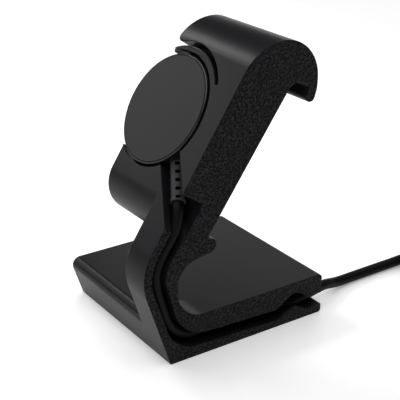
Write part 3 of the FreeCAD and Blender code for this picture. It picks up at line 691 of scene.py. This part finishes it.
# %% Tree for a band round the turns
def flat_band_tree():
    """Sweep a flat section with rounded edges along a rectangle with rounded corners."""
    tree, given = new_tree("flat_band", Across="Float", Height="Float", Corner="Float", Thickness="Float",
                           Width="Float", Edge="Float", Tape="Material")
    path = add_node(tree, "GeometryNodeCurvePrimitiveQuadrilateral", Width=given["Across"], Height=given["Height"])
    bent = add_node(tree, "GeometryNodeFilletCurve", {"mode": "POLY"}, Curve=path.outputs[0], Radius=given["Corner"],
                    Count=8)
    section = add_node(tree, "GeometryNodeCurvePrimitiveQuadrilateral", Width=given["Thickness"],
                       Height=given["Width"])
    soft = add_node(tree, "GeometryNodeFilletCurve", {"mode": "POLY"}, Curve=section.outputs[0], Radius=given["Edge"],
                    Count=3)
    band = add_node(tree, "GeometryNodeCurveToMesh", Curve=bent.outputs[0], Profile_Curve=soft.outputs[0])
    whole = add_node(tree, "GeometryNodeRealizeInstances", Geometry=band.outputs[0])
    dressed = add_node(tree, "GeometryNodeSetMaterial", Geometry=whole.outputs[0], Material=given["Tape"])
    add_node(tree, "NodeGroupOutput", Geometry=dressed.outputs[0])
    return tree


band_sweep = flat_band_tree()
print("band tree nodes:", len(band_sweep.nodes))

# %% Woven tape
def woven_black_tape():
    """Nylon tape: crossing ribs 0.6 mm apart, dull with a slight sheen."""
    material, tree, shader, place = new_material("woven_black_tape", "17171a", specular=0.3)
    ribs = add_node(tree, "ShaderNodeTexChecker", Vector=place, Scale=1 / (0.6 * MM)).outputs["Fac"]
    gloss = add_node(tree, "ShaderNodeMapRange", Value=ribs, To_Min=0.6, To_Max=0.75)
    relief = add_node(tree, "ShaderNodeBump", Height=ribs, Distance=0.08 * MM)
    feed(tree, shader, Roughness=gloss.outputs["Result"], Normal=relief.outputs["Normal"], Sheen_Weight=0.1)
    return material


tape = woven_black_tape()
print("tie:", tape.name)

# %% Tie round the turns
TIE_THICK = 1.0
TIE_WIDTH = 6.0
TIE_CORNER = CABLE_D / 2
TIE_EDGE = 0.25
TIE_CLEAR = 0.4
TIE_ANGLE = -20.0           # degrees round the coil

tie_across = 2 * CABLE_D + TIE_CLEAR + TIE_THICK
tie_height = COIL_LAYERS * CABLE_D + TIE_THICK
tie_piece = add_object("tape_tie", bpy.data.meshes.new("tape_tie"))
run_tree(tie_piece, band_sweep, Across=tie_across * MM, Height=tie_height * MM, Corner=TIE_CORNER * MM,
         Thickness=TIE_THICK * MM, Width=TIE_WIDTH * MM, Edge=TIE_EDGE * MM, Tape=tape)
baked(tie_piece)
tie_middle = Vector((COIL_RADIUS - TIE_CLEAR / 2, 0, (tie_height + TIE_THICK) / 2)) * MM
set_upright = Matrix.Rotation(math.radians(90), 4, "X")
round_coil = Matrix.Translation(coil_middle * Vector((1, 1, 0))) @ Matrix.Rotation(math.radians(TIE_ANGLE), 4, "Z")
tie_piece.data.transform(round_coil @ Matrix.Translation(tie_middle) @ set_upright)
stands_for(tie_piece, "tie", "cable_tie")
tie_lowest = min(point.co.z for point in tie_piece.data.vertices)
print("tie faces:", len(tie_piece.data.polygons), "lowest:", round(tie_lowest / MM, 2), "mm")

# %% [markdown]
# The plug at the far end has a soft ribbed sleeve, a moulded grip and a steel shell with a tongue and four contacts.
# The sleeve's ribs repeat along a line, so a Geometry Nodes tree makes them: it resamples a straight line, narrows
# every other pair of points and sweeps a circle whose size follows. The grip and the shell are copies of their CAD
# solids with rounded edges.

# %% Tree for a ribbed sleeve
RIB_POINTS = 4              # two on a rib and two in the groove behind it


def ribbed_sleeve_tree():
    """Sweep a circle that widens from start to end and is smaller in the grooves."""
    tree, given = new_tree("ribbed_sleeve", Start="Vector", End="Vector", Thin_Radius="Float", Thick_Radius="Float",
                           Groove="Float", Points="Int", Rubber="Material")
    line = add_node(tree, "GeometryNodeCurvePrimitiveLine", Start=given["Start"], End=given["End"])
    dense = add_node(tree, "GeometryNodeResampleCurve", Curve=line.outputs[0], Count=given["Points"])
    along = add_node(tree, "GeometryNodeSplineParameter").outputs
    taper = add_node(tree, "ShaderNodeMapRange", Value=along["Factor"], To_Min=given["Thin Radius"],
                     To_Max=given["Thick Radius"])
    step = add_node(tree, "ShaderNodeMath", {"operation": "MODULO"}, {0: along["Index"], 1: RIB_POINTS})
    low = add_node(tree, "ShaderNodeMath", {"operation": "GREATER_THAN"},
                   {0: step.outputs[0], 1: RIB_POINTS / 2 - 0.5})
    cut = add_node(tree, "ShaderNodeMath", {"operation": "MULTIPLY"}, {0: low.outputs[0], 1: given["Groove"]})
    radius = add_node(tree, "ShaderNodeMath", {"operation": "SUBTRACT"},
                      {0: taper.outputs["Result"], 1: cut.outputs[0]})
    ring = add_node(tree, "GeometryNodeCurvePrimitiveCircle", Resolution=32, Radius=1.0)
    sleeve = add_node(tree, "GeometryNodeCurveToMesh", Curve=dense.outputs[0], Profile_Curve=ring.outputs[0],
                      Scale=radius.outputs[0], Fill_Caps=True)
    whole = add_node(tree, "GeometryNodeRealizeInstances", Geometry=sleeve.outputs[0])
    dressed = add_node(tree, "GeometryNodeSetMaterial", Geometry=whole.outputs[0], Material=given["Rubber"])
    add_node(tree, "NodeGroupOutput", Geometry=dressed.outputs[0])
    return tree


rib_sweep = ribbed_sleeve_tree()
print("sleeve tree nodes:", len(rib_sweep.nodes))

# %% Ribbed sleeve at the plug
PLUG_SLEEVE = 9.0           # length
SLEEVE_THIN = 2.3           # radius at the cable
SLEEVE_THICK = 3.1          # radius at the grip
SLEEVE_GROOVE = 0.3         # depth
SLEEVE_POINTS = 26

plug_start = free_points[-1]
plug_end = plug_start - Vector((0, PLUG_SLEEVE * MM, 0))
plug_sleeve = add_object("plug_sleeve", bpy.data.meshes.new("plug_sleeve"))
run_tree(plug_sleeve, rib_sweep, Start=plug_start, End=plug_end, Thin_Radius=SLEEVE_THIN * MM,
         Thick_Radius=SLEEVE_THICK * MM, Groove=SLEEVE_GROOVE * MM, Points=SLEEVE_POINTS, Rubber=relief_rubber)
baked(plug_sleeve)
stands_for(plug_sleeve, "relief", "plug_strain_relief")
print("plug sleeve faces:", len(plug_sleeve.data.polygons))

# %% Plastics of the plug
def sparked_black_plastic():
    """Grip moulded in a spark-eroded tool: matt, with an even tooth, drawn coarser than it really is."""
    material, tree, shader, place = new_material("sparked_black_plastic", "1a1a1b", specular=0.4)
    tooth = add_node(tree, "ShaderNodeTexNoise", Vector=place, Scale=1 / (0.35 * MM)).outputs["Fac"]
    gloss = add_node(tree, "ShaderNodeMapRange", Value=tooth, To_Min=0.5, To_Max=0.62)
    relief = add_node(tree, "ShaderNodeBump", Height=tooth, Distance=0.02 * MM)
    feed(tree, shader, Roughness=gloss.outputs["Result"], Normal=relief.outputs["Normal"])
    return material


def filled_black_nylon():
    """Tongue of glass-filled nylon: black and slightly mottled."""
    material, tree, shader, place = new_material("filled_black_nylon", "1c1c1c", specular=0.4)
    mottle = add_node(tree, "ShaderNodeTexNoise", Vector=place, Scale=1 / (0.8 * MM)).outputs["Fac"]
    gloss = add_node(tree, "ShaderNodeMapRange", Value=mottle, To_Min=0.45, To_Max=0.6)
    feed(tree, shader, Roughness=gloss.outputs["Result"])
    return material


grip_plastic = sparked_black_plastic()
give_finish(filled_black_nylon(), "plug_tongue")

# %% Metals of the plug
def stamped_stainless_steel():
    """Bent sheet: bright grey with faint streaks from rolling along the plug, drawn coarser than they really are."""
    material, tree, shader, place = new_material("stamped_stainless_steel", "c4c5c8", metallic=1.0)
    drawn = add_node(tree, "ShaderNodeMapping", Vector=place, Scale=(1.0, 0.05, 1.0)).outputs["Vector"]
    streaks = add_node(tree, "ShaderNodeTexNoise", Vector=drawn, Scale=1 / (0.4 * MM)).outputs["Fac"]
    gloss = add_node(tree, "ShaderNodeMapRange", Value=streaks, To_Min=0.24, To_Max=0.36)
    feed(tree, shader, Roughness=gloss.outputs["Result"])
    return material


def gold_plate():
    """Plated contacts: warm and bright, dulled a little by use."""
    material, tree, shader, place = new_material("gold_plate", "d9ac52", metallic=1.0)
    wear = add_node(tree, "ShaderNodeTexNoise", Vector=place, Scale=1 / (0.5 * MM)).outputs["Fac"]
    gloss = add_node(tree, "ShaderNodeMapRange", Value=wear, To_Min=0.18, To_Max=0.32)
    feed(tree, shader, Roughness=gloss.outputs["Result"])
    return material


contacts = [name for name in nodes if name.startswith("plug_contact")]
shell_steel = stamped_stainless_steel()
give_finish(gold_plate(), *contacts)

# %% Grip and shell of the plug
GRIP_ROUND = 0.5            # mm
SHELL_ROUND = 0.12          # mm
PLUG_CREASE = 50            # degrees

grip_mesh = merged_copy("plug_body", "plug_grip")
grip_mesh.materials.append(grip_plastic)
plug_grip = rounded_piece(grip_mesh, GRIP_ROUND, PLUG_CREASE)
stands_for(plug_grip, "plug", "plug_body")
shell_mesh = merged_copy("plug_shell", "plug_sheet_shell")
shell_mesh.materials.append(shell_steel)
plug_sheet = rounded_piece(shell_mesh, SHELL_ROUND, PLUG_CREASE)
stands_for(plug_sheet, "shell", "plug_shell")
print("plug faces:", len(plug_grip.data.polygons), len(plug_sheet.data.polygons), "contacts:", len(contacts))

# %% Length of the free cable
print("free length", round(free_length, 3), "m")

# %% [markdown]
# The dock was photographed on a white table. The floor is a large pale sheet with a faint gloss, so that it keeps the
# dock's shadow and a trace of its reflection. A small part of its white is a glow that only the camera, mirrors and
# clear things see, through the Light Path node, so it puts no light on the dock. The sheet's rim bends up to a low
# wall, as in a photographer's studio, so that a low view ends in pale grey and not in an empty room.

# %% Laminate of the table
FLOOR_GLOW = 0.25


def white_laminate():
    """Melamine table top: almost white, with a soft gloss and a tooth drawn coarser than it really is."""
    material, tree, shader, place = new_material("white_laminate", "fbfbfb", specular=0.4)
    tooth = add_node(tree, "ShaderNodeTexNoise", Vector=place, Scale=1 / (2.0 * MM)).outputs["Fac"]
    gloss = add_node(tree, "ShaderNodeMapRange", Value=tooth, To_Min=0.3, To_Max=0.34)
    path = add_node(tree, "ShaderNodeLightPath").outputs
    seen = path["Is Camera Ray"]
    for kind in ("Is Glossy Ray", "Is Transmission Ray"):
        seen = add_node(tree, "ShaderNodeMath", {"operation": "MAXIMUM"}, {0: seen, 1: path[kind]}).outputs[0]
    glow = add_node(tree, "ShaderNodeMapRange", Value=seen, To_Max=FLOOR_GLOW)
    feed(tree, shader, Roughness=gloss.outputs["Result"], Emission_Strength=glow.outputs["Result"])
    return material


laminate = white_laminate()
print("table:", laminate.name)

# %% Table with a rim that bends up
FLOOR_FLAT = 2.6            # m, radius of the flat part
RIM_BEND = 0.4              # m, radius of the bend that leads up to the wall
WALL_TOP = 0.65             # m
BEND_STEPS = 8
FLOOR_SIDES = 96

bends = [math.radians(90) * step / BEND_STEPS for step in range(BEND_STEPS + 1)]
rings = [(FLOOR_FLAT + RIM_BEND * math.sin(bend), RIM_BEND * (1 - math.cos(bend))) for bend in bends]
rings.append((FLOOR_FLAT + RIM_BEND, WALL_TOP))
turns = [math.tau * side / FLOOR_SIDES for side in range(FLOOR_SIDES)]
corners = [(radius * math.cos(turn), radius * math.sin(turn), height) for radius, height in rings for turn in turns]
faces = [tuple(range(FLOOR_SIDES))]
for ring in range(len(rings) - 1):
    for side in range(FLOOR_SIDES):
        here, after = ring * FLOOR_SIDES + side, ring * FLOOR_SIDES + (side + 1) % FLOOR_SIDES
        faces.append((here, here + FLOOR_SIDES, after + FLOOR_SIDES, after))
floor_mesh = bpy.data.meshes.new("table_top")
floor_mesh.from_pydata(corners, [], faces)
floor_mesh.polygons.foreach_set("use_smooth", [True] * len(faces))
floor_mesh.materials.append(laminate)
floor = add_object("table_top", floor_mesh)
print("table faces:", len(faces), "wall at", FLOOR_FLAT + RIM_BEND, "m")

# %% [markdown]
# The light is soft. Black plastic shows mostly what it mirrors, so each lamp stands where a face needs something to
# mirror: one at the left front for the arm and the puck, a smaller and brighter one at the left for the band along the
# rounded top, one in front for the right-hand side, and a tilted panel behind the dock for the top of the base. A wide
# lamp overhead fills the table, and the room adds a little from everywhere.

# %% Soft lights
LIT_PLACE = Vector((-10, 0, 55)) * MM


def soft_lamp(name, way, distance, size, radiance, faces=None):
    """Rectangular lamp that faces the dock or a given way; its power gives every point of it that radiance."""
    data = bpy.data.lights.new(name, "AREA")
    data.shape = "RECTANGLE"
    data.size, data.size_y = size
    data.energy = radiance * math.pi * size[0] * size[1]
    lamp = add_object(name, data)
    toward = Vector(way).normalized()
    turn = (-Vector(faces) if faces else toward).to_track_quat("Z", "Y").to_matrix().to_4x4()
    lamp.matrix_world = Matrix.Translation(LIT_PLACE + toward * distance) @ turn
    lamp.visible_camera = False
    print(name, "power", round(data.energy, 3), "W")


soft_lamp("lamp_left_front", (-0.78, -0.5, 0.38), 0.7, (0.3, 0.2), 3.9)
soft_lamp("lamp_left", (-0.78, -0.17, 0.64), 0.7, (0.15, 0.11), 24.0)
soft_lamp("lamp_front", (0.45, -0.78, 0.44), 0.7, (0.18, 0.18), 4.5)
soft_lamp("lamp_left_rear", (-0.725, 0.673, 0.13), 0.193, (0.17, 0.17), 0.75, faces=(0.45, -0.4, -0.8))
soft_lamp("lamp_overhead", (0.0, 0.0, 1.0), 1.8, (3.0, 3.0), 1.5)

# %% Room
ROOM_LIGHT = 0.03

world = bpy.data.worlds.new("studio")
bpy.context.scene.world = world
world.use_nodes = True
feed(world.node_tree, world.node_tree.nodes["Background"], Color=screen_colour("ffffff"), Strength=ROOM_LIGHT)
bpy.context.scene.view_settings.view_transform = "Standard"
print("room light:", ROOM_LIGHT)
